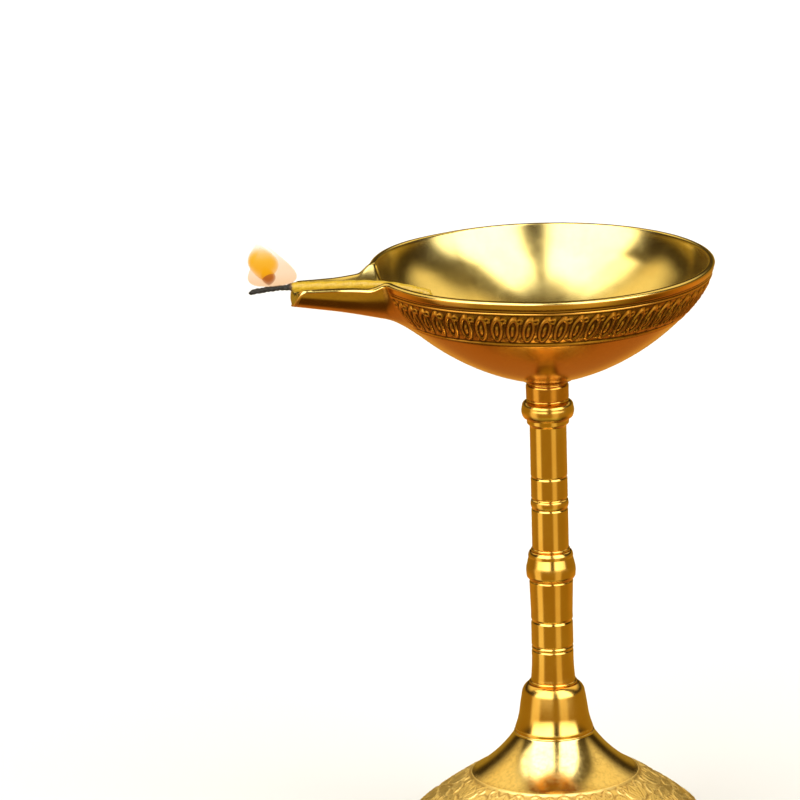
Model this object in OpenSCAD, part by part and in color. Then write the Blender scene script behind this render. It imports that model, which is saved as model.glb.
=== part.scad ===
// Standing brass oil lamp (samai): domed foot, screwed stem, shallow bowl with one wick spout.
// Units are millimetres. The lamp stands on z = 0, its stem is the Z axis, and the spout points along -X.

/* [Bowl] */

// outer diameter of the bowl at its rim
bowl_d = 110; // [90:1:130]
// height of the rim above the table
rim_z = 201; // [180:1:220]
// thickness of the bowl's wall
bowl_wall = 2.2; // [1.6:0.1:3]
// slope of the bowl's outside at the rim, in degrees from level
rim_slope = 76; // [60:1:80]
// outside radius of curvature just below the rim
bowl_upper_r = 28; // [20:1:40]
// outside radius of curvature of the shallow part below
bowl_lower_r = 81; // [60:1:120]
// slope where the two curvatures meet
bowl_mid_slope = 50; // [35:1:60]
// radius of the boss under the bowl
boss_r = 7; // [5.5:0.1:8]
// half the diameter of the flat floor inside the bowl
floor_r = 9; // [6:0.5:12]
// height of the flat floor inside the bowl
floor_z = 166.4; // [165:0.1:170]

/* [Spout] */

// distance from the stem's axis to the spout's lip
spout_reach = 83; // [75:0.5:90]
// height of the spout's two side edges
spout_edge_z = 198.5; // [195:0.1:200]
// outside radius of the spout's round underside near the lip
spout_tip_r = 8; // [7:0.1:11]
// the same where it runs into the bowl
spout_root_r = 19.2; // [16:0.1:24]
// radius of the channel near the lip
channel_tip_r = 7; // [6:0.1:8]
// radius of the channel where it opens into the bowl
channel_root_r = 17; // [14:0.1:20]

/* [Stem] */

// radius of the upper stem's plain shaft
upper_shaft_r = 6; // [5:0.1:7]
// radius of the round knop under the bowl
upper_knop_r = 8.6; // [7:0.05:10]
// radius of the lower stem at its waist
lower_waist_r = 6.85; // [6:0.05:8]
// radius of the round knop between the two stems
middle_knop_r = 8.05; // [7:0.05:9]
// radius of the tool that cuts each turned line
line_r = 0.35; // [0.2:0.05:0.6]

/* [Collar and foot] */

// radius of the collar at its top
collar_top_r = 10.1; // [9:0.1:12]
// radius of the collar at its foot
collar_foot_r = 12.4; // [11:0.1:15]
// radius of the small ledge the collar stands on
crown_r = 13.2; // [13:0.1:18]
// radius where the smooth flare meets the etched dome
flare_r = 27; // [22:0.5:30]
// radius of the dome at its widest
dome_r = 51.5; // [44:0.5:52]
// radius of the foot rim
foot_r = 54.5; // [53:0.5:60]
// thickness of the dome's shell
dome_wall = 2.4; // [1.8:0.1:3.2]

/* [Screws] */

// radius of the foot's stud
base_stud_r = 3.95; // [3:0.05:5]
// radius of the two stem studs
stem_stud_r = 2.95; // [2.5:0.05:4]
// clearance all round each stud in its hole
stud_gap = 0.05; // [0.01:0.01:0.1]
// thickness of each brass seat ring
ring_h = 1; // [0.6:0.1:1.5]
// width of the clamp nut across its flats
nut_across_flats = 13; // [11:0.5:17]

/* [Wick] */

// thickness of the twisted cotton
wick_d = 3.4; // [2:0.1:4]
// thickness of the burnt end
char_d = 1.8; // [1:0.1:2.4]
// length of burnt wick standing out past the lip
char_length = 14.2; // [8:0.1:18]
// slope of the wick in the channel, in degrees
wick_slope = 2; // [0:0.5:6]

/* [Output] */

// which sub-part to draw, or all of them

/* [Hidden] */

$fn = 96;
bowl_r = bowl_d / 2;
rim_round = 1.2; // height of the rounded edge above the wall's end
brass = [0.83, 0.65, 0.25];
old_brass = [0.66, 0.47, 0.17];
cotton = [0.90, 0.86, 0.76];

// levels where one piece sits on the next
flare_z = 29.1;
crown_z = 43;
collar_top_z = 59;
lower_stem_z = collar_top_z + ring_h;
lower_top_z = 104;
upper_stem_z = lower_top_z + ring_h;
upper_top_z = 154.5;
boss_z = upper_top_z + ring_h;

// heights of the turned lines on each stem
lower_lines_z = [70.6, 80.5, 94.1];
upper_lines_z = [118.9, 121.2, 129.1];

// how deep each hole is, and how far each stud goes into it
base_hole_h = 15;
base_stud_up = 13.5;
stem_hole_h = 11;
stem_stud_up = 10;
bowl_hole_h = 7.8;
bowl_stud_up = 7;
washer_h = 1.6;
nut_h = 6.5;
crown_thickness = 3.1;
washer_z = crown_z - crown_thickness - washer_h;
nut_z = washer_z - nut_h;

// the wick lies along one straight line through this point in the channel
wick_x = -spout_reach;
wick_z = spout_edge_z - 0.3;
wick_straight = 20;
wick_bend_r = 80;
wick_bend_angle = 19;

// points of a circular arc from p to q, without p; the arc bows out by rise to the right of its path
function bend(p, q, rise, steps = 8) =
    let (chord = norm(q - p))
    let (along = (q - p) / chord)
    let (side = rise > 0 ? [along.y, -along.x] : [-along.y, along.x])
    let (h = abs(rise))
    let (r = (chord * chord / 4 + h * h) / (2 * h))
    let (half = asin(chord / (2 * r)))
    let (centre = (p + q) / 2 + side * (h - r))
    [for (i = [1:steps])
        let (a = -half + 2 * half * i / steps)
        centre + side * r * cos(a) + along * r * sin(a)];

// a point on the bowl's wall: inset is 0 outside and the wall's thickness inside
bowl_upper_centre = [bowl_r, rim_z - rim_round] + bowl_upper_r * [-sin(rim_slope), cos(rim_slope)];
bowl_lower_centre = bowl_upper_centre
    - (bowl_lower_r - bowl_upper_r) * [sin(bowl_mid_slope), -cos(bowl_mid_slope)];
function upper_wall(slope, inset) =
    bowl_upper_centre + (bowl_upper_r - inset) * [sin(slope), -cos(slope)];
function lower_wall(slope, inset) =
    bowl_lower_centre + (bowl_lower_r - inset) * [sin(slope), -cos(slope)];

// the wall's outline from the boss up to the rim
function wall_curve(first_slope, inset) = concat(
    [for (i = [0:5]) lower_wall(first_slope + (bowl_mid_slope - first_slope) * i / 6, inset)],
    [for (i = [0:7]) upper_wall(bowl_mid_slope + (rim_slope - bowl_mid_slope) * i / 7, inset)]);

// slope of the lower wall where its inside reaches a given radius
function slope_at(radius, inset) = asin((radius - bowl_lower_centre.x) / (bowl_lower_r - inset));

// a hollow the size of a stud's hole
module stud_hole(r, z, h) {
    translate([0, 0, z])
        cylinder(r = r + stud_gap, h = h);
}

// a flat ring standing on level z
module seat_ring(outer, inner, z, h) {
    difference() {
        translate([0, 0, z])
            cylinder(r = outer, h = h);
        translate([0, 0, z - 1])
            cylinder(r = inner, h = h + 2);
    }
}

// a fine turned line round a shaft
module turned_line(r, z) {
    rotate_extrude()
        translate([r, z])
            circle(r = line_r, $fn = 24);
}

// a straight extrusion along Y, centred, of an outline in X and Z
module side_extrude(width) {
    rotate([90, 0, 0])
        linear_extrude(height = width, center = true)
            children();
}

// foot of the lamp: flared crown, etched dome and rolled rim, hollow underneath
module base_dome() {
    crown_edge = [crown_r, crown_z];
    flare_start = [crown_r, crown_z - 0.6];
    flare_end = [flare_r, flare_z];
    dome_shoulder = [41, 19.9];
    dome_edge = [dome_r, 10];
    cove_top = [dome_r, 8.8];
    cove_foot = [foot_r - 1, 6.4];
    rim_top = [foot_r, 4.6];
    rim_low = [foot_r, 2];
    rim_foot = [foot_r - 1.6, 0];
    outside = concat(
        [crown_edge, flare_start],
        bend(flare_start, flare_end, 1),
        bend(flare_end, dome_shoulder, -0.25, 3),
        bend(dome_shoulder, dome_edge, -0.5),
        [cove_top],
        bend(cove_top, cove_foot, 0.8, 4),
        bend(cove_foot, rim_top, -0.6, 4),
        [rim_low],
        bend(rim_low, rim_foot, -0.5, 4));
    well_edge = [crown_r - 2.6, crown_z - crown_thickness];
    inner_flare = [flare_r - 1.2, flare_z - dome_wall];
    inner_shoulder = dome_shoulder - [1.5, 2.1];
    inner_edge = dome_edge - [dome_wall, 0];
    inside = concat(
        [[foot_r - 6, 0], [dome_r - dome_wall, 6], inner_edge],
        bend(inner_edge, inner_shoulder, 0.4),
        [inner_flare],
        bend(inner_flare, well_edge, -1),
        [[base_stud_r + stud_gap, well_edge.y], [base_stud_r + stud_gap, crown_z]]);
    color(brass)
        rotate_extrude()
            polygon(concat(outside, inside));
}

// turned collar that stands on the crown and carries the stem
module base_collar() {
    top = [collar_top_r - 1.7, collar_top_z];
    neck = [collar_top_r, collar_top_z - 2.4];
    middle = [collar_foot_r - 0.8, crown_z + 6];
    foot = [collar_foot_r, crown_z + 1.6];
    lip = [collar_foot_r + 0.5, crown_z + 0.8];
    hole = base_stud_r + stud_gap;
    color(brass)
        rotate_extrude()
            polygon(concat(
                [[hole, collar_top_z], top],
                bend(top, neck, -0.3, 4),
                bend(neck, middle, -0.25),
                bend(middle, foot, 0.1, 3),
                [lip, [collar_foot_r + 0.5, crown_z], [hole, crown_z]]));
}

// washer between the clamp nut and the underside of the crown
module base_washer() {
    color(old_brass)
        seat_ring(8, base_stud_r + stud_gap, washer_z, washer_h);
}

// six-sided clamp nut under the crown
module base_nut() {
    color(old_brass)
        difference() {
            translate([0, 0, nut_z])
                cylinder(d = nut_across_flats / cos(30), h = nut_h, $fn = 6);
            stud_hole(base_stud_r, nut_z - 1, nut_h + 2);
        }
}

// stud that draws foot and collar together and carries the lower stem
module base_stud() {
    first = nut_z - 2;
    color(old_brass)
        translate([0, 0, first])
            cylinder(r = base_stud_r, h = lower_stem_z + base_stud_up - first);
}

// seat ring between the collar and the lower stem
module base_ring() {
    color(brass)
        seat_ring(7.9, base_stud_r + stud_gap, collar_top_z, ring_h);
}

// lower stem: waisted shaft with the middle knop at its top
module lower_stem() {
    foot = [7.4, lower_stem_z];
    heel = [7.2, lower_stem_z + 1.2];
    waist_low = [lower_waist_r, 70];
    waist_high = [lower_waist_r, 84];
    neck = [7.25, 94.6];
    knop_low = [middle_knop_r, 96.3];
    knop_high = [middle_knop_r, 98.8];
    knop_shoulder = [7.3, 102];
    top = [6.8, lower_top_z];
    color(brass)
        difference() {
            rotate_extrude()
                polygon(concat(
                    [[0, lower_stem_z], foot, heel],
                    bend(heel, waist_low, -0.15, 4),
                    [waist_high, neck],
                    bend(neck, knop_low, 0.25, 4),
                    [knop_high, knop_shoulder],
                    bend(knop_shoulder, top, 0.25, 4),
                    [[0, lower_top_z]]));
            stud_hole(base_stud_r, lower_stem_z - 1, base_hole_h + 1);
            stud_hole(stem_stud_r, lower_top_z - stem_hole_h, stem_hole_h + 1);
            turned_line(lower_waist_r + 0.1, lower_lines_z[0]);
            turned_line(lower_waist_r + 0.1, lower_lines_z[1]);
            turned_line(neck.x + 0.1, lower_lines_z[2]);
        }
}

// stud between the two stems, fixed in the lower one
module middle_stud() {
    color(old_brass)
        translate([0, 0, lower_top_z - stem_hole_h])
            cylinder(r = stem_stud_r, h = stem_hole_h + ring_h + stem_stud_up);
}

// seat ring between the two stems
module middle_ring() {
    color(brass)
        seat_ring(6.4, stem_stud_r + stud_gap, lower_top_z, ring_h);
}

// upper stem: plain shaft, step and round knop
module upper_stem() {
    step_low = [upper_shaft_r, 146.3];
    step_edge = [6.9, 147.2];
    step_top = [6.9, 148.6];
    knop_low = [upper_knop_r - 0.6, 149.2];
    knop_mid = [upper_knop_r - 0.2, 152.8];
    knop_top = [7.4, upper_top_z];
    color(brass)
        difference() {
            rotate_extrude()
                polygon(concat(
                    [[0, upper_stem_z], [upper_shaft_r, upper_stem_z], step_low],
                    [step_edge, step_top, knop_low],
                    bend(knop_low, knop_mid, 0.4, 6),
                    bend(knop_mid, knop_top, 0.3, 4),
                    [[0, upper_top_z]]));
            stud_hole(stem_stud_r, upper_stem_z - 1, stem_hole_h + 1);
            stud_hole(stem_stud_r, upper_top_z - stem_hole_h, stem_hole_h + 1);
            for (z = upper_lines_z)
                turned_line(upper_shaft_r + 0.1, z);
        }
}

// stud that carries the bowl, fixed in the upper stem
module bowl_stud() {
    color(old_brass)
        translate([0, 0, upper_top_z - stem_hole_h])
            cylinder(r = stem_stud_r, h = stem_hole_h + ring_h + bowl_stud_up);
}

// seat ring between the upper stem and the bowl
module bowl_ring() {
    color(brass)
        seat_ring(6.9, stem_stud_r + stud_gap, upper_top_z, ring_h);
}

// outside of the bowl and its boss, still solid
module bowl_outside() {
    neck_slope = slope_at(boss_r + 1.3, 0);
    bead_low = [boss_r, boss_z + 4.6];
    bead_high = lower_wall(neck_slope, 0);
    rotate_extrude()
        polygon(concat(
            [[0, boss_z], [boss_r, boss_z], bead_low],
            bend(bead_low, bead_high, 0.3, 4),
            wall_curve(neck_slope, 0),
            bend(upper_wall(rim_slope, 0), upper_wall(rim_slope, bowl_wall), 0.9, 6),
            [[0, upper_wall(rim_slope, bowl_wall).y]]));
}

// inside of the bowl, reaching a little above the rim
module bowl_inside() {
    floor_slope = slope_at(floor_r + 6, bowl_wall);
    mouth = upper_wall(rim_slope, bowl_wall);
    rotate_extrude()
        polygon(concat(
            [[0, floor_z], [floor_r, floor_z]],
            wall_curve(floor_slope, bowl_wall),
            [mouth + [0.6, 2], [0, mouth.y + 2]]));
}

// round trough along the spout: straight near the lip, widening towards the bowl
module trough(tip_r, root_r, tip_z, root_z, reach) {
    neck_x = 79;
    root_x = 48;
    tilt = atan((root_z - tip_z) / (neck_x - root_x));
    length = norm([neck_x - root_x, root_z - tip_z]);
    translate([-root_x, 0, root_z])
        rotate([0, -90 - tilt, 0])
            cylinder(r1 = root_r, r2 = tip_r, h = length);
    translate([-reach, 0, tip_z])
        rotate([0, 90, 0])
            cylinder(r = tip_r, h = reach - neck_x + 3);
}

// solid spout, cut to its side edges above and to its rounded lip in front
module spout_outside() {
    lip_top = [-spout_reach + 2.6, spout_edge_z];
    lip_nose = [-spout_reach, spout_edge_z - 3.6];
    lip_low = [-spout_reach + 3, spout_edge_z - 7];
    intersection() {
        trough(spout_tip_r, spout_root_r, spout_edge_z + 2.6, spout_edge_z + 6.1, spout_reach + 1);
        side_extrude(60)
            polygon(concat(
                [[-44, rim_z - 0.4], [-56, rim_z - 0.4], [-68, spout_edge_z], lip_top],
                bend(lip_top, lip_nose, -0.4, 4),
                bend(lip_nose, lip_low, -0.7, 4),
                [[-60, 160], [-44, 160]]));
    }
}

// bowl with its wick spout and the boss that screws onto the upper stem
module oil_bowl() {
    color(brass)
        difference() {
            union() {
                bowl_outside();
                spout_outside();
            }
            bowl_inside();
            trough(channel_tip_r, channel_root_r, spout_edge_z + 4.5, spout_edge_z + 7.7, spout_reach + 3);
            stud_hole(stem_stud_r, boss_z - 1, bowl_hole_h + 1);
        }
}

// twisted cotton wick: burnt end past the lip, straight along the channel, drooping into the oil
module wick() {
    color(cotton)
        translate([wick_x, 0, wick_z])
            rotate([0, wick_slope, 0]) {
                translate([-char_length, 0, 0])
                    rotate([0, 90, 0])
                        cylinder(d = char_d, h = char_length + 2);
                rotate([0, 90, 0])
                    cylinder(d = wick_d, h = wick_straight);
                translate([wick_straight, 0, -wick_bend_r])
                    rotate([-90, -90, 0])
                        rotate_extrude(angle = wick_bend_angle)
                            translate([wick_bend_r, 0])
                                circle(d = wick_d);
            }
}

base_dome();
base_collar();
base_washer();
base_nut();
base_stud();
base_ring();
lower_stem();
middle_stud();
middle_ring();
upper_stem();
bowl_stud();
bowl_ring();
oil_bowl();
wick();
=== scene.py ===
"""Standing brass oil lamp (samai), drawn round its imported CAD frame.

Outlines are in millimetres and are turned to metres when a mesh is made. The stem is the Z axis,
the lamp stands on z = 0 and the spout points along -X.
"""
import math

import bpy
import numpy as np
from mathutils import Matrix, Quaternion, Vector


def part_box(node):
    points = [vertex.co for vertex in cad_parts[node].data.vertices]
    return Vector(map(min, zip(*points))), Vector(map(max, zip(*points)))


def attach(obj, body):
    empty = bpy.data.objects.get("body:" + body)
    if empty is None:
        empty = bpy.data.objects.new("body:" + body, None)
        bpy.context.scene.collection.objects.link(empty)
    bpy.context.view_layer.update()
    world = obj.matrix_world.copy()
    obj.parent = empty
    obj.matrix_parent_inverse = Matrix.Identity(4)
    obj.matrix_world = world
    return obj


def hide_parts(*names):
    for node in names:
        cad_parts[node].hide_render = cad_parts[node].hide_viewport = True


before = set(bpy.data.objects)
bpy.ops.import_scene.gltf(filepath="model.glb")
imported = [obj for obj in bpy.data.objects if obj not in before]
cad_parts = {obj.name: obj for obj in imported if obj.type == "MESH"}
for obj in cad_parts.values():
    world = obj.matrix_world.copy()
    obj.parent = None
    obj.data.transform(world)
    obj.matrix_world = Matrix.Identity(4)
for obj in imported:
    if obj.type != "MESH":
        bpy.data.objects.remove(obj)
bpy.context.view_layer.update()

MM = 0.001


def levels(node):
    """Lowest level, highest level and reach across Y of a CAD node, in millimetres."""
    low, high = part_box(node)
    return low.z / MM, high.z / MM, high.y / MM


# ---------------------------------------------------------------- camera

VIEW_AZIMUTH = -10.0
VIEW_ELEVATION = 14.75
VIEW_ROLL = -1.45
VIEW_DISTANCE = 2.6
VIEW_WIDTH = 0.2588
# where the rim's centre stands, to the right of and above the middle of the view, in metres
RIM_RIGHT = 0.0468
RIM_UP = 0.0448


def direction(azimuth, elevation):
    """Unit vector towards a place round the lamp: azimuth 0 is in front (-Y) and 90 is at +X."""
    a, e = math.radians(azimuth), math.radians(elevation)
    return Vector((math.sin(a) * math.cos(e), -math.cos(a) * math.cos(e), math.sin(e)))


def make_camera():
    camera = bpy.data.objects.new("camera", bpy.data.cameras.new("camera"))
    bpy.context.scene.collection.objects.link(camera)
    bpy.context.scene.camera = camera
    back = direction(VIEW_AZIMUTH, VIEW_ELEVATION)
    turn = (-back).to_track_quat("-Z", "Y") @ Quaternion((0, 0, 1), math.radians(VIEW_ROLL))
    rim_centre = Vector((0, 0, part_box("oil_bowl")[1].z))
    aim = rim_centre - turn @ Vector((RIM_RIGHT, RIM_UP, 0))
    camera.rotation_mode = "QUATERNION"
    camera.rotation_quaternion = turn
    camera.location = aim + back * VIEW_DISTANCE
    camera.data.lens = camera.data.sensor_width * VIEW_DISTANCE / VIEW_WIDTH
    camera.data.clip_start = 0.1
    camera.data.clip_end = 60


# ---------------------------------------------------------------- smooth functions

def smooth_min(a, b, blend):
    h = np.maximum(blend - np.abs(a - b), 0) / blend
    return np.minimum(a, b) - h * h * blend / 4


def smooth_max(a, b, blend):
    return -smooth_min(-a, -b, blend)


def smooth_step(x, low, high):
    t = np.clip((x - low) / (high - low), 0, 1)
    return t * t * (3 - 2 * t)


def ridge(distance, width):
    """A rounded raised line, 1 at its middle and 0 from width outwards."""
    return 1 - smooth_step(np.abs(distance), 0, width)


# ---------------------------------------------------------------- outlines

def bend(p, q, rise, steps=10):
    """Points of an arc from p to q, without p; it bows out by rise to the right of its path."""
    p, q = np.array(p, float), np.array(q, float)
    chord = np.linalg.norm(q - p)
    along = (q - p) / chord
    side = np.array([along[1], -along[0]]) * math.copysign(1, rise)
    height = abs(rise)
    radius = (chord * chord / 4 + height * height) / (2 * height)
    half = math.asin(chord / (2 * radius))
    centre = (p + q) / 2 + side * (height - radius)
    angles = np.linspace(-half, half, steps + 1)[1:]
    return [tuple(centre + side * radius * math.cos(a) + along * radius * math.sin(a)) for a in angles]


def bead(p, q, steps=8):
    """A half-round bead that bulges to the right of the path from p to q, without p."""
    return bend(p, q, 0.499 * math.dist(p, q), steps)


def soften(points, radius, closed, sharp=18):
    """The outline with every corner sharper than that many degrees rounded off."""
    made = []
    count = len(points)
    for i, here in enumerate(points):
        if not closed and i in (0, count - 1):
            made.append(here)
            continue
        before, after = points[i - 1], points[(i + 1) % count]
        here = np.array(here, float)
        into, out = here - before, after - here
        reach_in, reach_out = np.linalg.norm(into), np.linalg.norm(out)
        turn = math.degrees(math.acos(np.clip(into @ out / (reach_in * reach_out), -1, 1)))
        if turn < sharp:
            made.append(tuple(here))
            continue
        cut = min(radius, 0.45 * reach_in, 0.45 * reach_out)
        start, end = here - into / reach_in * cut, here + out / reach_out * cut
        for t in np.linspace(0, 1, 6):
            made.append(tuple((1 - t) ** 2 * start + 2 * t * (1 - t) * here + t * t * end))
    return made


def spaced(points, step, closed):
    """The outline with points added so that none are further apart than step."""
    points = np.array(points, float)
    ends = np.roll(points, -1, 0) if closed else points[1:]
    made = []
    for p, q in zip(points, ends):
        parts = max(1, math.ceil(np.linalg.norm(q - p) / step))
        made += [p + (q - p) * i / parts for i in range(parts)]
    if not closed:
        made.append(points[-1])
    return np.array(made)


def outward(points):
    """The outline in the order that faces its surface outwards."""
    r, z = np.array(points, float).T
    area = np.sum(r * np.roll(z, -1) - np.roll(r, -1) * z)
    return points if area > 0 else points[::-1]


# ---------------------------------------------------------------- meshes

def surface_normals(grid, closed):
    """Unit normals of a grid of points whose columns go round."""
    across = np.roll(grid, -1, 1) - np.roll(grid, 1, 1)
    if closed:
        along = np.roll(grid, -1, 0) - np.roll(grid, 1, 0)
    else:
        along = np.gradient(grid, axis=0)
    normal = np.cross(across, along)
    return normal / np.maximum(np.linalg.norm(normal, axis=-1, keepdims=True), 1e-9)


def hollows(grid, normals, closed, steps=5):
    """How far each point lies below its blurred surroundings, in millimetres."""
    blurred = grid.copy()
    for _ in range(steps):
        rows = np.pad(blurred, ((1, 1), (0, 0), (0, 0)), mode="wrap" if closed else "edge")
        columns = np.roll(blurred, 1, 1) + np.roll(blurred, -1, 1)
        blurred = (rows[:-2] + rows[2:] + columns + 2 * blurred) / 6
    return ((blurred - grid) * normals).sum(-1)


def skin(rings, closed):
    """Faces between rings of points. Neighbouring rings have equal counts, multiples, or one point."""
    starts = np.cumsum([0] + [len(ring) for ring in rings])
    pairs = list(zip(range(len(rings) - 1), range(1, len(rings))))
    if closed:
        pairs.append((len(rings) - 1, 0))
    faces = []
    for low, high in pairs:
        a = starts[low] + np.arange(len(rings[low]))
        b = starts[high] + np.arange(len(rings[high]))
        if len(b) == 1:
            made = [a, np.roll(a, -1), np.full_like(a, b[0])]
        elif len(a) == 1:
            made = [np.full_like(b, a[0]), np.roll(b, -1), b]
        elif len(a) >= len(b):
            many = len(a) // len(b)
            made = [np.roll(a, -i)[::many] for i in range(many + 1)] + [np.roll(b, -1), b]
        else:
            many = len(b) // len(a)
            made = [a, np.roll(a, -1)] + [np.roll(b, -i)[::many] for i in range(many, -1, -1)]
        faces += np.stack(made, 1).tolist()
    return faces


def circle(radius, z, angles):
    """Points at one height, at a radius that may change round the circle."""
    return np.stack([radius * np.cos(angles), radius * np.sin(angles), z + 0 * angles], 1)


def full_turn(count):
    """That many directions, evenly spaced round the stem."""
    return np.arange(count) * 2 * math.pi / count


def make_piece(name, rings, marks, material, body, nodes=(), closed=False):
    """A smooth mesh from rings of points in millimetres; marks are its per-point numbers by name."""
    points = np.concatenate(rings) * MM
    mesh = bpy.data.meshes.new(name)
    mesh.from_pydata(points.tolist(), [], skin(rings, closed))
    for mark, values in marks.items():
        layer = mesh.attributes.new(mark, "FLOAT", "POINT")
        layer.data.foreach_set("value", np.concatenate([np.ravel(v) for v in values]).astype(np.float32))
    mesh.shade_smooth()
    mesh.update()
    mesh.materials.append(material)
    piece = bpy.data.objects.new(name, mesh)
    bpy.context.scene.collection.objects.link(piece)
    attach(piece, body)
    if nodes:
        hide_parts(*nodes)
    return piece


def turned(node, points, material, body, columns=160, step=0.7, corner=0.25, relief=None):
    """A lathe-turned piece in place of a CAD node. An outline that starts on the axis also ends there.

    relief gives the height raised on the outline, and its points are marked "etched" where it isn't 0.
    """
    closed = points[0][0] > 0
    outline = spaced(soften(outward(points), corner, closed), step, closed)
    angles = full_turn(columns)
    grid = np.stack([
        outline[:, :1] * np.cos(angles),
        outline[:, :1] * np.sin(angles),
        outline[:, 1:] + 0 * angles], -1)
    normals = surface_normals(grid, closed)
    if relief is not None:
        raised = relief(outline, angles)
        grid = grid + normals * raised[..., None]
        normals = surface_normals(grid, closed)
    rings, marks = list(grid), {"hollow": list(hollows(grid, normals, closed))}
    if relief is not None:
        marks["etched"] = list((raised != 0).astype(float))
    if not closed:
        for values in (rings, *marks.values()):
            values[0], values[-1] = values[0][:1], values[-1][:1]
    return make_piece(node + "_turned", rings, marks, material, body, [node], closed)


# ---------------------------------------------------------------- materials

class Shader:
    """Adds nodes to a new material and links their sockets."""

    def __init__(self, name):
        self.material = bpy.data.materials.new(name)
        self.material.use_nodes = True
        self.tree = self.material.node_tree
        self.surface = self.tree.nodes["Principled BSDF"]

    def put(self, node, socket, value):
        if isinstance(value, bpy.types.NodeSocket):
            self.tree.links.new(value, node.inputs[socket])
        else:
            node.inputs[socket].default_value = value

    def node(self, kind, inputs, **settings):
        made = self.tree.nodes.new(kind)
        for key, value in settings.items():
            setattr(made, key, value)
        for socket, value in inputs.items():
            self.put(made, socket, value)
        return made

    def math(self, operation, *values):
        inputs = dict(enumerate(values))
        return self.node("ShaderNodeMath", inputs, operation=operation).outputs[0]

    def position(self):
        return self.node("ShaderNodeTexCoord", {}).outputs["Object"]

    def mark(self, name):
        return self.node("ShaderNodeAttribute", {}, attribute_name=name).outputs["Fac"]

    def noise(self, scale, detail=3.0, rough=0.5):
        inputs = {"Vector": self.position(), "Scale": scale, "Detail": detail, "Roughness": rough}
        return self.node("ShaderNodeTexNoise", inputs).outputs["Fac"]

    def lathe_lines(self, scale):
        """Fine rings round the Z axis, as a lathe leaves them."""
        x, y, z = self.node("ShaderNodeSeparateXYZ", {0: self.position()}).outputs
        flat = self.node("ShaderNodeCombineXYZ", {0: x, 1: y}).outputs[0]
        radius = self.node("ShaderNodeVectorMath", {0: flat}, operation="LENGTH").outputs["Value"]
        across = self.math("ADD", radius, z)
        inputs = {"W": across, "Scale": scale, "Detail": 2.0}
        return self.node("ShaderNodeTexNoise", inputs, noise_dimensions="1D").outputs[0]

    def span(self, value, low, high, to_low=0.0, to_high=1.0):
        inputs = {"Value": value, "From Min": low, "From Max": high, "To Min": to_low, "To Max": to_high}
        made = self.node("ShaderNodeMapRange", inputs, interpolation_type="SMOOTHSTEP")
        return made.outputs["Result"]

    def blend(self, factor, a, b):
        made = self.node("ShaderNodeMix", {}, data_type="RGBA")
        for socket, value in ((0, factor), (6, a), (7, b)):
            self.put(made, socket, (*value, 1.0) if isinstance(value, tuple) else value)
        return made.outputs[2]

    def bump(self, height, strength, distance):
        inputs = {"Height": height, "Strength": strength, "Distance": distance}
        self.put(self.surface, "Normal", self.node("ShaderNodeBump", inputs).outputs[0])


def brass(name, light, deep, patina, roughness, patina_from, patina_to,
          grain=0.0, outside=None, satin=0.0):
    """Lathe-finished brass: turning lines, cloudy tint, dark patina in its hollows, dull worn edges.

    outside is the tint of the surfaces marked "outer": painted shade, the same brass given a darker,
    browner tint there than inside.
    satin is how much rougher the surfaces marked "etched" are, which also carry the grain.
    """
    shader = Shader(name)
    cloud = shader.noise(38.0, 4.0, 0.6)
    speck = shader.noise(700.0, 2.0, 0.6)
    lines = shader.lathe_lines(2600.0)
    hollow = shader.mark("hollow")
    tint = shader.blend(shader.span(cloud, 0.35, 0.7), light, deep)
    uneven = 0.02
    # Painted shade: the surfaces marked "outer" take the darker, browner outside tint.
    if outside:
        outer = shader.mark("outer")
        tint = shader.blend(outer, tint, outside)
        hollow = shader.math("MULTIPLY", hollow, outer)
        uneven = 0.012
    stained = shader.math("ADD", hollow, shader.span(speck, 0.3, 0.8, -uneven, uneven))
    dirt = shader.span(stained, patina_from, patina_to)
    if outside:
        dirt = shader.math("MULTIPLY", dirt, shader.span(outer, 0.0, 1.0, 0.12, 1.0))
    colour = shader.blend(dirt, tint, patina)
    shader.put(shader.surface, "Base Color", colour)
    shader.surface.inputs["Metallic"].default_value = 1.0
    smudge = shader.span(shader.noise(95.0, 5.0, 0.65), 0.4, 0.75, 0.0, 0.06)
    dull = shader.math("MULTIPLY", dirt, 0.28)
    worn = shader.span(hollow, -0.02, -0.12, 0.0, 0.22)
    rough = shader.math("ADD", shader.math("ADD", smudge, dull), shader.math("ADD", worn, roughness))
    height = shader.math("MULTIPLY", lines, 0.12)
    if grain:
        stipple = shader.math("MULTIPLY", shader.noise(2300.0, 2.0, 0.6), grain)
        if satin:
            etched = shader.mark("etched")
            stipple = shader.math("MULTIPLY", stipple, etched)
            rough = shader.math("ADD", rough, shader.math("MULTIPLY", etched, satin))
        height = shader.math("ADD", height, stipple)
    shader.put(shader.surface, "Roughness", rough)
    shader.bump(height, 0.5, 0.00004)
    return shader.material


def cotton():
    """Oil-soaked cotton, burnt black where it stands out of the spout."""
    shader = Shader("oil_soaked_cotton")
    burnt = shader.mark("burnt")
    fibre = shader.noise(1500.0, 3.0, 0.7)
    soaked = shader.blend(shader.span(fibre, 0.3, 0.75), (0.40, 0.25, 0.010), (0.54, 0.36, 0.030))
    ash = shader.blend(shader.span(fibre, 0.45, 0.8), (0.006, 0.005, 0.005), (0.035, 0.030, 0.028))
    edge = shader.math("ADD", burnt, shader.span(fibre, 0.2, 0.8, -0.18, 0.18))
    scorched = shader.blend(shader.span(edge, 0.15, 0.5), soaked, (0.10, 0.045, 0.012))
    shader.put(shader.surface, "Base Color", shader.blend(shader.span(edge, 0.45, 0.75), scorched, ash))
    shader.put(shader.surface, "Roughness", shader.span(burnt, 0.3, 0.7, 0.34, 0.85))
    shader.surface.inputs["Coat Weight"].default_value = 0.15
    shader.surface.inputs["Coat Roughness"].default_value = 0.18
    shader.bump(fibre, 0.6, 0.00012)
    return shader.material


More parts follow.
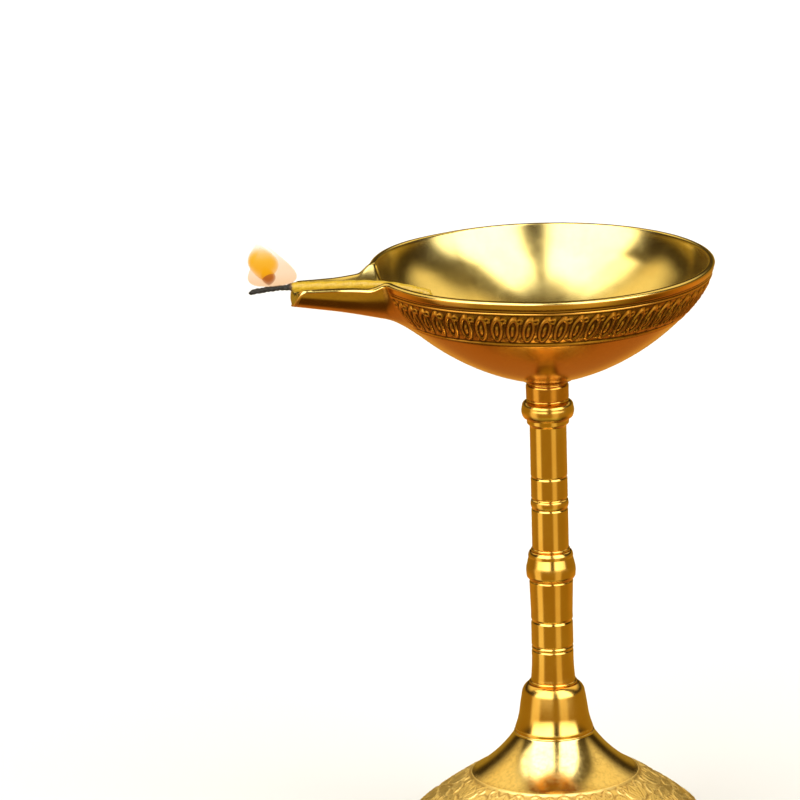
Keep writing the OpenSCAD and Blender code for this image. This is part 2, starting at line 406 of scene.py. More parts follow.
def flame_glow(name, bottom, middle, top, density, fade_from):
    """A see-through flame layer: denser where it is seen through its middle, fading out upwards."""
    shader = Shader(name)
    rise = shader.mark("rise")
    low = shader.blend(shader.span(rise, 0.0, 0.35), bottom, middle)
    shader.put(shader.surface, "Emission Color", shader.blend(shader.span(rise, 0.35, 0.95), low, top))
    shader.surface.inputs["Emission Strength"].default_value = 1.0
    shader.surface.inputs["Base Color"].default_value = (0, 0, 0, 1)
    shader.surface.inputs["Roughness"].default_value = 1.0
    shader.surface.inputs["Specular IOR Level"].default_value = 0.0
    facing = shader.node("ShaderNodeLayerWeight", {"Blend": 0.5}).outputs["Facing"]
    body = shader.span(facing, 1.0, 0.1, 0.0, density)
    fade = shader.span(rise, 1.0, fade_from)
    shader.put(shader.surface, "Alpha", shader.math("MULTIPLY", body, fade))
    return shader.material


POLISHED = brass("brass_polished", (0.84, 0.56, 0.15), (0.79, 0.47, 0.10), (0.20, 0.085, 0.012),
                 0.14, 0.03, 0.16)
# The bowl's brass is tinted two ways: paler inside, which is painted light so that its bright reflections
# come out whitish, and darker and browner outside, which is painted shade.
BOWL = brass("brass_bowl", (0.86, 0.69, 0.27), (0.80, 0.60, 0.20), (0.12, 0.045, 0.006),
             0.16, -0.02, 0.10, outside=(0.74, 0.38, 0.07))
ETCHED = brass("brass_etched", (0.90, 0.69, 0.28), (0.84, 0.60, 0.20), (0.46, 0.28, 0.075),
               0.11, 0.0, 0.13, grain=1.0, satin=0.24)
FITTINGS = brass("brass_fittings", (0.60, 0.40, 0.13), (0.44, 0.27, 0.08), (0.12, 0.06, 0.015),
                 0.30, 0.0, 0.14, grain=0.5)


# ---------------------------------------------------------------- bowl and spout

BOWL_LOW, BOWL_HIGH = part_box("oil_bowl")
RIM_Z = round(BOWL_HIGH.z / MM, 1)
BOWL_R = 55.0
BOSS_Z = BOWL_LOW.z / MM
FLOOR_Z = 166.4
LIP_X = BOWL_LOW.x / MM
WALL = 2.2
# the wall is two arcs: its slope at the rim and where they meet, and their radii outside
RIM_SLOPE, MID_SLOPE = math.radians(76), math.radians(50)
UPPER_R, LOWER_R = 28.0, 81.0
UPPER_CENTRE = (BOWL_R - UPPER_R * math.sin(RIM_SLOPE), RIM_Z - 1.2 + UPPER_R * math.cos(RIM_SLOPE))
LOWER_CENTRE = (UPPER_CENTRE[0] - (LOWER_R - UPPER_R) * math.sin(MID_SLOPE),
                UPPER_CENTRE[1] + (LOWER_R - UPPER_R) * math.cos(MID_SLOPE))
SPOUT_EDGE_Z = RIM_Z - 2.5
# where the spout starts to widen, and where it has its full width in the bowl
NECK_X, ROOT_X = -66.0, -48.0
# how much wider the bowl is towards its spout, as a share of its radius
SWELL = 0.035
# how far the rim's rounded edge falls, and over what width
EDGE_DROP, EDGE_WIDTH = 0.9, 1.1

# the chased band's two edges and its number of loops
BAND_LOW, BAND_HIGH = 184.2, 198.0
BAND_COUNT = 62
# points round the bowl, and round its boss and floor where it is narrow
BOWL_RAYS, FEW_RAYS = 900, 180


def wall_height(r, inset):
    """Height of the bowl's wall over radius r: inset is 0 outside and the wall's thickness inside."""
    upper_r, lower_r = UPPER_R - inset, LOWER_R - inset
    upper = UPPER_CENTRE[1] - np.sqrt(np.maximum(upper_r ** 2 - (r - UPPER_CENTRE[0]) ** 2, 1e-6))
    lower = LOWER_CENTRE[1] - np.sqrt(lower_r ** 2 - (r - LOWER_CENTRE[0]) ** 2)
    return np.where(r < UPPER_CENTRE[0] + upper_r * math.sin(MID_SLOPE), lower, upper)


def trough_height(x, y, lip, neck, root):
    """Height of a round trough whose axis and radius are given at the lip, the neck and the root."""
    along = (x - LIP_X) / (NECK_X - LIP_X)
    widening = smooth_max(x - NECK_X, 0 * x, 5.0) / (ROOT_X - NECK_X)
    carried = (ROOT_X - NECK_X) / (NECK_X - LIP_X)
    axis, radius = (
        a + (b - a) * along + (c - b - (b - a) * carried) * widening for a, b, c in zip(lip, neck, root))
    round_part = np.minimum(np.abs(y) / radius, 0.97)
    beyond = np.maximum(np.abs(y) / radius - 0.97, 0) * radius
    behind = np.maximum(x + 44, 0)
    return SPOUT_EDGE_Z + axis - radius * np.sqrt(1 - round_part ** 2) + 4 * beyond + 0.35 * behind ** 2


def spout_height(x, y):
    """Underside of the spout, from its axis over the side edges and its radius at the three places."""
    return trough_height(x, y, (0.6, 7.2), (-1.0, 8.6), (5.5, 19.2))


def channel_height(x, y):
    """Bottom of the channel in the spout, given as the underside is."""
    return trough_height(x, y, (4.1, 6.6), (5.3, 8.2), (7.7, 17.0))


def bowl_radius(x, y):
    """Distance from the stem's axis, shortened where the bowl swells a little towards its spout."""
    radius = np.hypot(x, y)
    return radius / (1 + SWELL * smooth_step(-x / np.maximum(radius, 1), 0.4, 0.85))


def outside_height(x, y):
    return smooth_min(wall_height(bowl_radius(x, y), 0), spout_height(x, y), 5.0)


def inside_height(x, y):
    dish = smooth_max(wall_height(bowl_radius(x, y), WALL), FLOOR_Z + 0 * x, 1.2)
    return smooth_min(dish, channel_height(x, y), 3.5)


def top_height(x):
    """Height of the rim and of the spout's side edges, falling away round the lip."""
    edge = RIM_Z - (RIM_Z - SPOUT_EDGE_Z) * smooth_step(-x, 54, 60)
    past = np.clip((LIP_X + 3.3 - x) / 3.3, 0, 1)
    return edge - 5.6 * (1 - np.sqrt(1 - past ** 2))


def rim_radius(angles):
    """How far out the outer wall meets the rounded edge in each direction, by halving."""
    near, far = np.full_like(angles, 45.0), np.full_like(angles, 90.0)
    for _ in range(40):
        middle = (near + far) / 2
        x, y = middle * np.cos(angles), middle * np.sin(angles)
        outside = outside_height(x, y) > top_height(x) - EDGE_DROP
        far = np.where(outside, middle, far)
        near = np.where(outside, near, middle)
    return (near + far) / 2


def rim_rays(count):
    """Directions evenly spaced along the rim, its radius there, and how squarely each ray meets it."""
    angles = np.linspace(0, 2 * math.pi, 24001)
    radius = rim_radius(angles)
    lengths = np.hypot(np.diff(radius), radius[1:] * np.diff(angles))
    travelled = np.concatenate([[0], np.cumsum(lengths)])
    slope = np.gradient(radius, angles)
    square = radius / np.hypot(radius, slope)
    rays = np.interp(np.arange(count) * travelled[-1] / count, travelled, angles)
    return rays, rim_radius(rays), np.interp(rays, angles, square)


def even_rows(radius, height, count, weight):
    """Along each ray, count points evenly spaced by weighted surface length."""
    steps = np.hypot(np.diff(radius), np.diff(height)) * weight((height[:, 1:] + height[:, :-1]) / 2)
    travelled = np.concatenate([np.zeros((len(radius), 1)), np.cumsum(steps, 1)], 1)
    places = np.linspace(0, 1, count)
    r = np.array([np.interp(places * t[-1], t, row) for t, row in zip(travelled, radius)])
    z = np.array([np.interp(places * t[-1], t, row) for t, row in zip(travelled, height)])
    return r, z


def band_relief(angle, z):
    """The chased band: a row of leaning open loops, with curls between them, between two lines."""
    pitch = 2 * math.pi * 52 / BAND_COUNT
    turn = angle / (2 * math.pi) * BAND_COUNT
    a = (turn - np.floor(turn) - 0.5) * pitch
    b = z - 190.6
    lean = math.radians(15)
    p = a * math.cos(lean) - b * math.sin(lean)
    q = a * math.sin(lean) + b * math.cos(lean)
    loop = ridge((np.hypot(p / 1.75, q / 4.9) - 0.86) * 2.0, 0.62)
    heart = 0.8 * (1 - smooth_step(np.hypot(p / 0.7, (q + 0.8) / 2.5), 0.4, 1.0))
    curls = 0 * a
    for side in (-1, 1):
        beside = a + side * pitch / 2
        curls = np.maximum(curls, 0.8 * ridge(np.hypot(beside, b - 3.4) - 0.75, 0.5))
        curls = np.maximum(curls, 0.7 * (1 - smooth_step(np.hypot(beside, b + 3.9), 0.2, 0.9)))
    leaves = np.maximum.reduce([loop, heart, curls]) * (z < 195.9)
    lines = np.maximum(ridge(z - 196.6, 0.45), 0.6 * ridge(z - BAND_HIGH + 0.4, 0.35))
    lines = np.maximum(lines, ridge(z - BAND_LOW - 0.5, 0.5))
    rises = smooth_step(z, BAND_LOW - 0.2, BAND_LOW + 0.3)
    falls = smooth_step(z, BAND_HIGH - 0.2, BAND_HIGH + 0.3)
    return rises * (1 - falls) * (0.62 * np.maximum(leaves, lines) - 0.36)


def boss_outline():
    """Under the bowl: a small bead, the plain boss, and the tapped hole up its middle."""
    bead_top, bead_low = (7.2, BOSS_Z + 5.75), (6.75, BOSS_Z + 4.85)
    points = [(8.4, BOSS_Z + 6.3), bead_top, *bead(bead_top, bead_low)[:-1], bead_low,
              (7.0, BOSS_Z + 4.3), (6.95, BOSS_Z), (3.0, BOSS_Z), (3.0, BOSS_Z + 7.8), (0.0, BOSS_Z + 7.8)]
    return spaced(soften(points, 0.2, False), 0.7, False)


def make_bowl():
    """The casting as one skin: boss and hole, underside, rounded edge, inside and floor."""
    rays, edge, square = rim_rays(BOWL_RAYS)
    start = 9.0
    dense = np.linspace(0, 1, 1200)
    radius = start + (edge[:, None] - start) * dense
    x, y = radius * np.cos(rays)[:, None], radius * np.sin(rays)[:, None]

    short = np.clip(1 - (edge[:, None] - radius) * square[:, None] / EDGE_WIDTH, 0, 1)
    top = smooth_min(inside_height(x, y), top_height(x), 1.2)
    top = top - EDGE_DROP * (1 - np.sqrt(1 - short ** 2))
    top_r, top_z = even_rows(radius, top, 78, lambda z: 1.0 + 1.5 * (z > RIM_Z - 4))
    outside = outside_height(x, y)
    under_r, under_z = even_rows(radius, outside, 100, lambda z: 1.0 + 1.6 * (z > BAND_LOW - 1))

    def lay(r, z, along):
        return np.stack([r * np.cos(along)[:, None], r * np.sin(along)[:, None], z], -1).swapaxes(0, 1)

    shell = np.concatenate([lay(under_r, under_z, rays), lay(top_r, top_z, rays)[::-1][1:]])
    normals = surface_normals(shell, False)
    rows = len(under_r[0])
    under = shell[:rows]
    free = smooth_step(spout_height(under[..., 0], under[..., 1]) - under[..., 2], 3.0, 7.5)
    angle = np.arctan2(under[..., 1], under[..., 0]) + math.pi
    shell[:rows] += normals[:rows] * (free * band_relief(angle, under[..., 2]))[..., None]
    normals = surface_normals(shell, False)
    hollow = hollows(shell, normals, False, 4)
    outer = np.zeros(shell.shape[:2])
    outer[:rows] = 1.0

    few_rays = rays[::BOWL_RAYS // FEW_RAYS]
    boss = [circle(r, z, few_rays) for r, z in boss_outline()[::-1]]
    boss[0] = boss[0][:1]
    floor = [circle(r, FLOOR_Z, few_rays) for r in (6.5, 4.0, 1.8)]
    floor.append(np.array([[0.0, 0.0, FLOOR_Z]]))
    rings = boss + list(shell) + floor
    boss_marks = [np.zeros(len(ring)) for ring in boss]
    floor_marks = [np.zeros(len(ring)) for ring in floor]
    marks = {
        "hollow": boss_marks + list(hollow) + floor_marks,
        "outer": [values + 1 for values in boss_marks] + list(outer) + floor_marks}
    make_piece("oil_bowl_cast", rings, marks, BOWL, "bowl", ["oil_bowl"])


# ---------------------------------------------------------------- stems and rings

# radius of the holes for the foot's screw and for the two screws above it
WIDE_HOLE, NARROW_HOLE = 4.0, 3.0


def grooved(r, z, width=0.9, depth=0.3):
    """A turned line in an outline that runs upwards at radius r."""
    return [(r, z - width / 2), (r - depth, z), (r, z + width / 2)]


def upper_stem_outline():
    low, high, _ = levels("upper_stem")
    shaft, knop, hole = 6.0, 8.4, NARROW_HOLE
    step_z, line_z = low + 41.3, low + 24.1
    band_low, band_high = low + 13.4, low + 16.8
    foot = [(0.0, low + 11), (hole, low + 11), (hole, low), (shaft, low), (shaft, low + 1.2)]
    swell = bend((shaft, band_low + 0.4), (shaft, band_high - 0.4), 0.22, 6)
    band = [*grooved(shaft, band_low, 0.8), *swell, *grooved(shaft, band_high, 0.8)]
    step = [(shaft, step_z), (6.9, step_z + 0.9), (6.9, step_z + 2.3)]
    knop_low, knop_mid = (8.0, step_z + 2.9), (knop, step_z + 6.5)
    round_knop = [knop_low, *bend(knop_low, knop_mid, 0.4, 8), *bend(knop_mid, (7.4, high), 0.3, 6)]
    top = [(hole, high), (hole, high - 11), (0.0, high - 11)]
    return foot + band + grooved(shaft, line_z) + step + round_knop + top


def lower_stem_outline():
    low, high, _ = levels("lower_stem")
    waist, knop, hole = 6.85, 8.05, NARROW_HOLE
    foot = [(0.0, low + 15), (WIDE_HOLE, low + 15), (WIDE_HOLE, low), (7.4, low), (7.2, low + 1.2)]
    heel = bend((7.2, low + 1.2), (waist, low + 9.8), -0.12, 6)
    lines = [*grooved(waist, low + 10.6, 0.8), *grooved(waist, low + 11.9, 0.8),
             *grooved(waist, low + 20.5, 1.3, 0.35), (waist, low + 24)]
    neck_top, knop_low = (7.25, low + 34.6), (knop, low + 36.3)
    knop_high, shoulder = (knop, low + 38.8), (7.3, low + 42)
    neck = [(7.15, low + 33.3), *grooved(7.2, low + 34.1, 0.7), neck_top]
    round_knop = [*bend(neck_top, knop_low, 0.25, 6), *bend(knop_low, knop_high, 0.08, 4), shoulder,
                  *bend(shoulder, (6.8, high), 0.25, 6)]
    top = [(hole, high), (hole, high - 11), (0.0, high - 11)]
    return foot + heel + lines + neck + round_knop + top


def ring_outline(node, inner):
    low, high, outer = levels(node)
    middle = (low + high) / 2
    return [(inner, low), (outer - 0.25, low), (outer, middle - 0.2), (outer, middle + 0.2),
            (outer - 0.25, high), (inner, high)]


def make_stems():
    turned("upper_stem", upper_stem_outline(), POLISHED, "upper_stem")
    turned("lower_stem", lower_stem_outline(), POLISHED, "lower_stem")
    for ring, hole in (("base_ring", WIDE_HOLE), ("middle_ring", NARROW_HOLE), ("bowl_ring", NARROW_HOLE)):
        turned(ring, ring_outline(ring, hole), POLISHED, ring, corner=0.12)


# ---------------------------------------------------------------- studs, nut and washer

def make_stud(node, pitch, body, columns=48):
    """A threaded stud with its thread as geometry and both ends chamfered."""
    low, high, crest = levels(node)
    depth = 0.61 * pitch
    z = np.arange(low, high, pitch / 10)
    z = np.append(z, high)
    angles = full_turn(columns)
    turn = z[:, None] / pitch - angles / (2 * math.pi)
    wave = np.abs(turn - np.floor(turn) - 0.5) * 2
    thread = crest - depth * smooth_step(wave, 0.12, 0.95)
    chamfer = crest - depth * 1.1 + np.minimum(z - low, high - z)
    radius = np.minimum(thread, chamfer[:, None])
    grid = np.stack([radius * np.cos(angles), radius * np.sin(angles), z[:, None] + 0 * angles], -1)
    hollow = hollows(grid, surface_normals(grid, False), False)
    rings = [np.array([[0.0, 0.0, low]]), *grid, np.array([[0.0, 0.0, high]])]
    marks = [np.zeros(1), *hollow, np.zeros(1)]
    make_piece(node + "_threaded", rings, {"hollow": marks}, FITTINGS, body, [node])


def make_nut():
    """The hexagonal clamp nut, with the corners of both faces turned off."""
    low, high, _ = levels("base_nut")
    flat, bore = 6.5, WIDE_HOLE
    columns = 144
    angles = full_turn(columns)
    hexagon = flat / np.cos(angles % (math.pi / 3) - math.pi / 6)
    heights = np.unique(np.concatenate([np.linspace(low, low + 1, 6), np.linspace(low + 1, high - 1, 5),
                                        np.linspace(high - 1, high, 6)]))
    rings = [circle(bore, low, angles)]
    for z in heights:
        cone = flat - 0.1 + 1.7 * min(z - low, high - z)
        rings.append(circle(np.minimum(hexagon, cone), z, angles))
    rings.append(circle(bore, high, angles))
    marks = {"hollow": [np.zeros(columns) for _ in rings]}
    nut = make_piece("base_nut_cut", rings, marks, FITTINGS, "foot", ["base_nut"], True)
    nut.data.set_sharp_from_angle(angle=math.radians(28))


def make_fittings():
    make_stud("base_stud", 1.25, "foot")
    make_stud("middle_stud", 1.0, "lower_stem")
    make_stud("bowl_stud", 1.0, "upper_stem")
    make_nut()
    washer = ring_outline("base_washer", WIDE_HOLE)
    turned("base_washer", washer, FITTINGS, "foot", corner=0.3)


# ---------------------------------------------------------------- collar and foot

# from the top: the crown, the foot of its flare, the dome's edge and the foot rim
CROWN_R, CROWN_Z = 13.2, levels("base_dome")[1]
FLARE_R, FLARE_Z = 27.0, 29.1
DOME_R, DOME_Z = 51.5, 10.0
FOOT_R = 54.5
# spacing of the outline's points where it is etched
ETCHED_STEP = 0.5


def collar_outline():
    low, high, _ = levels("base_collar")
    top, neck, middle, foot = (8.4, high), (10.3, high - 2.8), (11.4, low + 6), (12.8, low + 1)
    return [(WIDE_HOLE, high), top, *bend(top, neck, -0.35, 8), *bend(neck, middle, -0.04, 8),
            *bend(middle, foot, 0.12, 8), (12.9, low), (WIDE_HOLE, low)]


def dome_outline():
    """The foot's outline, with its etched stretch already closely spaced for the relief."""
    flare_start, flare_end = (CROWN_R, CROWN_Z - 0.6), (FLARE_R, FLARE_Z)
    shoulder, edge = (41.0, 19.9), (DOME_R, DOME_Z)
    cove_top, cove_foot, rim_top = (DOME_R, 8.8), (FOOT_R - 1, 6.4), (FOOT_R, 4.6)
    rim_low, rim_foot = (FOOT_R, 2.0), (FOOT_R - 1.6, 0.0)
    etched = [flare_end, *bend(flare_end, shoulder, -0.25, 6), *bend(shoulder, edge, -0.5, 12)]
    outside = [(CROWN_R, CROWN_Z), flare_start, *bend(flare_start, flare_end, 1.0, 14)[:-1],
               *map(tuple, spaced(etched, ETCHED_STEP, False)),
               cove_top, *bend(cove_top, cove_foot, 0.8, 8), *bend(cove_foot, rim_top, -0.6, 6),
               rim_low, *bend(rim_low, rim_foot, -0.5, 5)]
    well, inner_edge, inner_shoulder = (10.6, CROWN_Z - 3.1), (DOME_R - 2.4, DOME_Z), (39.5, 17.8)
    inner_flare = (FLARE_R - 1.2, FLARE_Z - 2.4)
    inside = [(FOOT_R - 6, 0.0), (DOME_R - 2.4, 6.0), inner_edge, *bend(inner_edge, inner_shoulder, 0.4, 8),
              inner_flare, *bend(inner_flare, well, -1.0, 10), (WIDE_HOLE, CROWN_Z - 3.1),
              (WIDE_HOLE, CROWN_Z)]
    return outside + inside


def leaf(p, q, length, width):
    """A leaf from the origin along p: raised, with a midrib and slanting veins cut into it."""
    along = np.clip(p / length, 0, 1)
    half = width * np.sin(math.pi * along ** 0.8) ** 0.9
    inside = smooth_step(half - np.abs(q), 0.0, 0.45) * (p > 0) * (p < length)
    midrib = 0.5 * ridge(q, 0.4)
    veins = 0.28 * (0.5 + 0.5 * np.cos((p - 0.9 * np.abs(q)) * 2 * math.pi / 1.5)) * (np.abs(q) > 0.35)
    outline = 0.35 * ridge(half - np.abs(q) - 0.35, 0.4)
    return inside * (0.75 - midrib - veins + outline)


def placed_leaf(a, b, at, heading, length, width):
    """A leaf rooted at a point and growing towards a heading, in degrees."""
    h = math.radians(heading)
    p = (a - at[0]) * math.cos(h) + (b - at[1]) * math.sin(h)
    q = -(a - at[0]) * math.sin(h) + (b - at[1]) * math.cos(h)
    return leaf(p, q, length, width)


def dome_relief(outline, angles):
    """Etched leaves and scrolls round the dome, between its two bright borders."""
    repeats = 12
    r, z = outline[:, :1], outline[:, 1:]
    outer = (r > FLARE_R - 0.01) & (r < DOME_R + 0.01) & (z > DOME_Z - 0.01) & (z < FLARE_Z + 0.01)
    outer = outer & (z > DOME_Z + 0.68 * (DOME_R - r) - 0.2)
    down = np.hypot(r - FLARE_R, z - FLARE_Z)
    length = math.hypot(DOME_R - FLARE_R, FLARE_Z - DOME_Z)
    width = 2 * math.pi * 39 / repeats
    turn = angles / (2 * math.pi) * repeats
    a = ((turn - np.floor(turn) - 0.5) * width)[None, :] * np.clip(r / 39, 0.7, 1.3)
    b = down + 0 * a
    half = width / 2
    shapes = []
    for side in (-1, 1):
        s = a * side
        shapes += [
            placed_leaf(s, b, (0.6, 9.0), -62, 7.6, 2.5),
            placed_leaf(s, b, (1.6, 10.6), 8, 8.0, 2.4),
            placed_leaf(s, b, (0.8, 13.5), 62, 7.8, 2.5),
            placed_leaf(s, b, (half - 0.8, 4.0), 118, 6.4, 2.0),
            placed_leaf(s, b, (half - 0.6, 25.5), -112, 7.2, 2.2),
            0.8 * ridge(np.hypot(s - half + 2.6, b - 13.8) - 2.7, 0.6),
            0.8 * ridge(np.hypot(s - half + 2.6, b - 13.8) - 1.1, 0.6),
            0.8 * ridge(np.hypot(s - 5.0, b - 24.2) - 2.0, 0.6),
            0.8 * ridge(np.hypot(s - 4.6, b - 3.2) - 1.6, 0.55)]
    shapes.append(placed_leaf(a, b, (0, 1.6), 90, 7.4, 2.3))
    shapes.append(placed_leaf(a, b, (0, 27.4), -90, 8.4, 2.6))
    border = np.maximum(ridge(b - 0.6, 0.55), ridge(b - length + 0.7, 0.6))
    pattern = np.maximum.reduce([*shapes, border + 0 * a])
    fade = smooth_step(b, 0.0, 0.3) * smooth_step(length - b, 0.0, 0.3)
    return np.where(outer, fade * (0.42 * pattern - 0.24), 0)


def make_foot():
    turned("base_collar", collar_outline(), POLISHED, "foot")
    turned("base_dome", dome_outline(), ETCHED, "foot", columns=720, step=2.4,
           relief=dome_relief)


# ---------------------------------------------------------------- wick and flame

# the wick's height at the lip and its slope there
WICK_Z = SPOUT_EDGE_Z - 0.3
WICK_SLOPE = math.radians(2)
# its burnt length outside, then its straight length and the bend that droops into the oil
CHAR_LENGTH = 14.2
WICK_STRAIGHT, WICK_BEND_R = 20.0, 80.0
WICK_LENGTH = WICK_STRAIGHT + WICK_BEND_R * math.radians(19)


def wick_point(s):
    """Centre of the wick at distance s inwards from the lip; it is burnt where s is negative."""
    turned_by = max(s - WICK_STRAIGHT, 0) / WICK_BEND_R
    across = min(s, WICK_STRAIGHT) + WICK_BEND_R * math.sin(turned_by)
    down = WICK_BEND_R * (1 - math.cos(turned_by))
    sag = 0.0075 * min(s, 0) ** 2
    x = LIP_X + across * math.cos(WICK_SLOPE) - down * math.sin(WICK_SLOPE)
    z = WICK_Z - across * math.sin(WICK_SLOPE) - down * math.cos(WICK_SLOPE) - sag
    return np.array([x, 0.0, z]), WICK_SLOPE + turned_by


def make_wick():
    """Twisted cotton as one rope of three strands, thin and ragged where it is burnt."""
    around = 48
    places = np.linspace(-CHAR_LENGTH, WICK_LENGTH, 330)
    side = np.array([0.0, -1.0, 0.0])
    phi = full_turn(around)
    rings, burnt = [], []
    for s in places:
        centre, slope = wick_point(s)
        soaked = smooth_step(np.array(s), -2.2, 1.2)
        strands = 0.10 * np.abs(np.cos(1.5 * (phi - s * 0.42))) ** 0.8 - 0.10
        ragged = 0.16 * (1 - soaked) * np.sin(s * 2.9 + 2 * phi) * np.cos(s * 1.3 + phi)
        burnt_end = math.sqrt(max(s + CHAR_LENGTH, 0) / 1.2 + 0.02)
        inner_end = math.sqrt(max(WICK_LENGTH - s, 0) / 1.5 + 0.02)
        radius = (0.88 + 0.78 * soaked) * (1 + strands + ragged) * min(1.0, burnt_end, inner_end)
        up = np.array([math.sin(slope), 0.0, math.cos(slope)])
        rings.append(centre + radius[:, None] * (np.cos(phi)[:, None] * side + np.sin(phi)[:, None] * up))
        burnt.append(np.full(around, 1 - float(soaked)))
    rings = [wick_point(places[0])[0][None], *rings, wick_point(places[-1])[0][None]]
    burnt = [np.ones(1), *burnt, np.zeros(1)]
    make_piece("wick_twisted", rings, {"burnt": burnt}, cotton(), "wick", ["wick"])


def make_flame(name, foot, height, width, depth, lean, belly, material):
    """A drop-shaped flame layer on the burnt wick; a smaller belly puts its widest place lower."""
    around, rows = 64, 60
    phi = full_turn(around)
    rings, rise = [], []
    for t in np.linspace(0.004, 0.996, rows):
        radius = width / 2 * math.sin(math.pi * t ** belly)
        wave = 1 + 0.05 * np.sin(2 * phi + 5 * t)
        x = foot[0] + lean * t * t + radius * wave * np.cos(phi)
        y = foot[1] + depth / width * radius * wave * np.sin(phi)
        rings.append(np.stack([x, y, foot[2] + height * t + 0 * phi], 1))
        rise.append(np.full(around, t))
    rings = [np.array([foot]), *rings, np.array([[foot[0] + lean, foot[1], foot[2] + height]])]
    rise = [np.zeros(1), *rise, np.ones(1)]
    make_piece(name, rings, {"rise": rise}, material, "wick")


def make_flames():
    """Pale haze round the whole flame, its orange body, and the dark root on the wick."""
    haze = flame_glow("flame_haze", (0.96, 0.58, 0.30), (1.0, 0.72, 0.45), (1.0, 0.90, 0.62), 0.72, 0.35)
    body = flame_glow("flame_body", (0.80, 0.24, 0.02), (0.96, 0.42, 0.008), (1.0, 0.58, 0.06), 0.97, 0.6)
    root = flame_glow("flame_root", (0.26, 0.06, 0.01), (0.45, 0.12, 0.02), (0.80, 0.28, 0.02), 1.0, 0.6)
    base = LIP_X - CHAR_LENGTH / 2
    make_flame("flame_outer", [base + 0.9, 0.0, WICK_Z + 0.6], 15.6, 15.4, 3.0, -3.4, 0.42, haze)
    make_flame("flame_inner", [base - 1.5, 0.0, WICK_Z + 1.4], 14.2, 9.6, 8.0, -2.4, 1.05, body)
    make_flame("flame_root", [base - 0.4, 0.0, WICK_Z + 0.9], 8.0, 5.0, 6.0, -1.8, 0.8, root)


# ---------------------------------------------------------------- studio

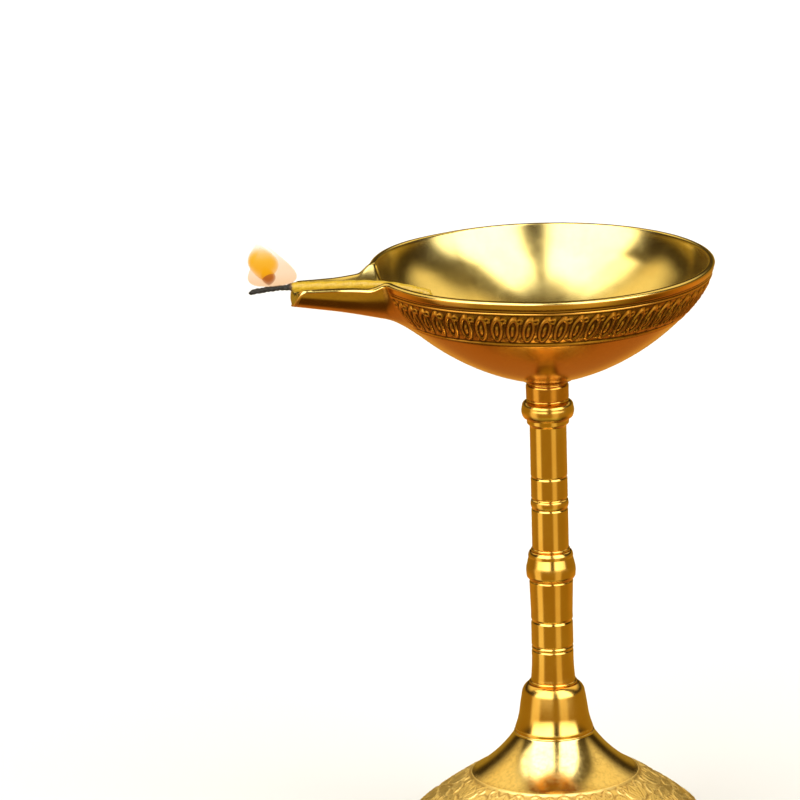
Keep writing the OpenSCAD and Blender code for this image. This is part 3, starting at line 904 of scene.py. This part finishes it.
class World:
    """Adds up the room's soft light by direction."""

    def __init__(self):
        self.world = bpy.data.worlds.new("studio")
        bpy.context.scene.world = self.world
        self.world.use_nodes = True
        self.tree = self.world.node_tree
        self.tree.nodes.clear()
        self.way = self.add("ShaderNodeTexCoord", {}).outputs["Generated"]
        flat = self.vector("MULTIPLY", {0: self.way, 1: (1, 1, 0)}).outputs[0]
        self.level = self.vector("NORMALIZE", {0: flat}).outputs[0]
        self.up = self.add("ShaderNodeSeparateXYZ", {0: self.way}).outputs[2]
        self.total = None

    def add(self, kind, inputs, **settings):
        made = self.tree.nodes.new(kind)
        for key, value in settings.items():
            setattr(made, key, value)
        for socket, value in inputs.items():
            if isinstance(value, bpy.types.NodeSocket):
                self.tree.links.new(value, made.inputs[socket])
            else:
                made.inputs[socket].default_value = value
        return made

    def vector(self, operation, inputs):
        return self.add("ShaderNodeVectorMath", inputs, operation=operation)

    def span(self, value, low, high):
        inputs = {"Value": value, "From Min": low, "From Max": high}
        return self.add("ShaderNodeMapRange", inputs, interpolation_type="SMOOTHSTEP").outputs["Result"]

    def light(self, amount, colour):
        """Adds colour times amount, which is a number or a socket from 0 to 1."""
        made = self.vector("SCALE", {0: colour, "Scale": amount}).outputs[0]
        if self.total is not None:
            made = self.vector("ADD", {0: self.total, 1: made}).outputs[0]
        self.total = made

    def climb(self, start, end):
        """0 at one elevation and 1 at the other, and level beyond them both."""
        return self.span(self.up, math.sin(math.radians(start)), math.sin(math.radians(end)))

    def between(self, rise, fall):
        """1 between two elevations, with soft edges: rise and fall each name where one starts and ends."""
        above, below = self.climb(*rise), self.climb(*reversed(fall))
        return self.add("ShaderNodeMath", {0: above, 1: below}, operation="MULTIPLY").outputs[0]

    def panel(self, azimuth, half_width, soft, colour, rise, fall):
        """An upright soft panel round an azimuth seen from the camera, between two elevations."""
        middle = direction(VIEW_AZIMUTH + azimuth, 0)
        facing = self.vector("DOT_PRODUCT", {0: self.level, 1: middle})
        inside = math.cos(math.radians(half_width - soft))
        outside = math.cos(math.radians(half_width + soft))
        across = self.span(facing.outputs["Value"], outside, inside)
        both = {0: across, 1: self.between(rise, fall)}
        self.light(self.add("ShaderNodeMath", both, operation="MULTIPLY").outputs[0], colour)

    def finish(self):
        """What the camera sees past the floor is plain white; everything else gets the soft light."""
        ray = self.add("ShaderNodeLightPath", {}).outputs["Is Camera Ray"]
        seen = self.add("ShaderNodeBackground", {"Color": (1, 1, 1, 1)})
        room = self.add("ShaderNodeBackground", {"Color": self.total})
        both = self.add("ShaderNodeMixShader", {0: ray, 1: room.outputs[0], 2: seen.outputs[0]})
        self.add("ShaderNodeOutputWorld", {"Surface": both.outputs[0]})


def make_world():
    """Two big soft windows above, their dimmer reflections below, and warm light off the room all round."""
    room = World()
    room.light(1.0, (0.040, 0.024, 0.006))
    room.light(room.climb(10, -40), (0.045, 0.018, 0.002))
    room.light(room.between((-42, -24), (2, 14)), (0.33, 0.20, 0.02))
    room.panel(180, 70, 25, (0.40, 0.16, 0.03), (-89, -60), (-30, -10))
    room.panel(5, 55, 25, (0.36, 0.34, 0.09), (-64, -50), (-38, -26))
    room.panel(-66, 15, 6, (0.75, 0.66, 0.42), (-60, -28), (2, 10))
    room.panel(33, 13, 6, (0.48, 0.40, 0.22), (-60, -28), (2, 10))
    room.panel(-38, 33, 7, (3.7, 3.6, 3.2), (0, 14), (70, 86))
    room.panel(45, 27, 7, (3.7, 3.6, 3.2), (0, 14), (70, 86))
    room.panel(-84, 14, 6, (2.6, 2.5, 2.1), (38, 48), (66, 84))
    room.panel(135, 28, 10, (1.05, 0.86, 0.44), (18, 38), (60, 82))
    room.panel(-135, 28, 10, (1.05, 0.86, 0.44), (18, 38), (60, 82))
    room.light(room.climb(20, 50), (0.08, 0.065, 0.025))
    room.finish()


def make_floor():
    """A pale floor that the brass doesn't mirror, so that its reflections are the room's alone."""
    half = 14.0
    corners = [(-half, -half, 0), (half, -half, 0), (half, half, 0), (-half, half, 0)]
    mesh = bpy.data.meshes.new("floor")
    mesh.from_pydata(corners, [], [(0, 1, 2, 3)])
    shader = Shader("pale_floor")
    shader.surface.inputs["Base Color"].default_value = (0.76, 0.79, 0.90, 1)
    shader.surface.inputs["Roughness"].default_value = 0.9
    mesh.materials.append(shader.material)
    floor = bpy.data.objects.new("floor", mesh)
    bpy.context.scene.collection.objects.link(floor)
    floor.visible_glossy = False
    floor.visible_shadow = False


def make_studio():
    make_world()
    make_floor()
    bpy.context.scene.view_settings.view_transform = "Standard"


make_camera()
make_bowl()
make_stems()
make_fittings()
make_foot()
make_wick()
make_flames()
make_studio()
